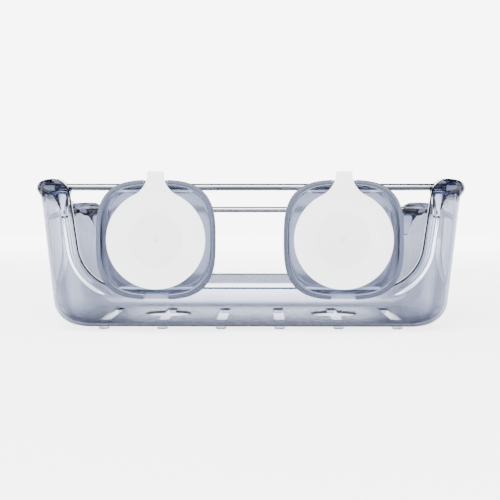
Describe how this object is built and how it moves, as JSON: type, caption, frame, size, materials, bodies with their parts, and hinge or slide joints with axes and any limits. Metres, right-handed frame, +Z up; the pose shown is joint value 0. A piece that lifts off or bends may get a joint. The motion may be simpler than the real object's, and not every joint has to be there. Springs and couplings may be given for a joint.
{
  "type": "suction basket",
  "caption": "Clear wall basket with steel rod rails, slotted floor and lever-locked suction cups in rounded square housings with pull tabs.",
  "frame": {"origin": "centre of the bounding box's underside, in the plane of the feet's soles", "axes": "+X along the rails, +Y towards the wall that the suction cups hold on to, +Z up; the basket's user side faces -Y"},
  "size_m": [0.3046, 0.1677, 0.1117],
  "materials": {
    "clear_plastic": "clear gloss, faint blue",
    "housing_plastic": "clear gloss, blue-grey tint",
    "lever_plastic": "clear gloss",
    "white_rubber": "soft satin",
    "stem_plastic": "satin",
    "rail_steel": "polished stainless",
    "pin_steel": "brushed"
  },
  "bodies": {
    "basket": {"basket": "clear_plastic", "rear_rail": "rail_steel", "front_rail": "rail_steel"},
    "left_unit": {"left_housing": "housing_plastic", "left_cam_plate": "pin_steel"},
    "left_cup": {"left_suction_cup": "white_rubber", "left_stem": "stem_plastic", "left_lever_pin": "pin_steel"},
    "left_lever": {"left_lever": "lever_plastic"},
    "right_unit": {"right_housing": "housing_plastic", "right_cam_plate": "pin_steel"},
    "right_cup": {"right_suction_cup": "white_rubber", "right_stem": "stem_plastic", "right_lever_pin": "pin_steel"},
    "right_lever": {"right_lever": "lever_plastic"}
  },
  "joints": [
    {"name": "left_unit_slide", "type": "slide", "parent": "basket", "child": "left_unit", "axis": [-1, 0, 0], "range_m": [-0.02, 0.008]},
    {"name": "right_unit_slide", "type": "slide", "parent": "basket", "child": "right_unit", "axis": [1, 0, 0], "range_m": [-0.02, 0.008]},
    {"name": "left_cup_slide", "type": "slide", "parent": "left_unit", "child": "left_cup", "axis": [0, 1, 0], "range_m": [0, 0.0025]},
    {"name": "right_cup_slide", "type": "slide", "parent": "right_unit", "child": "right_cup", "axis": [0, 1, 0], "range_m": [0, 0.0025]},
    {"name": "left_lever_turn", "type": "hinge", "parent": "left_cup", "child": "left_lever", "pos_m": [-0.0633, 0.0527, 0.0657], "axis": [-1, 0, 0], "range_deg": [0, 90]},
    {"name": "right_lever_turn", "type": "hinge", "parent": "right_cup", "child": "right_lever", "pos_m": [0.0633, 0.0527, 0.0657], "axis": [-1, 0, 0], "range_deg": [0, 90]}
  ],
  "couplings": [
    {"joint": "left_lever_turn", "follows": "left_cup_slide", "rad_per_m": 628.3},
    {"joint": "right_lever_turn", "follows": "right_cup_slide", "rad_per_m": 628.3}
  ]
}
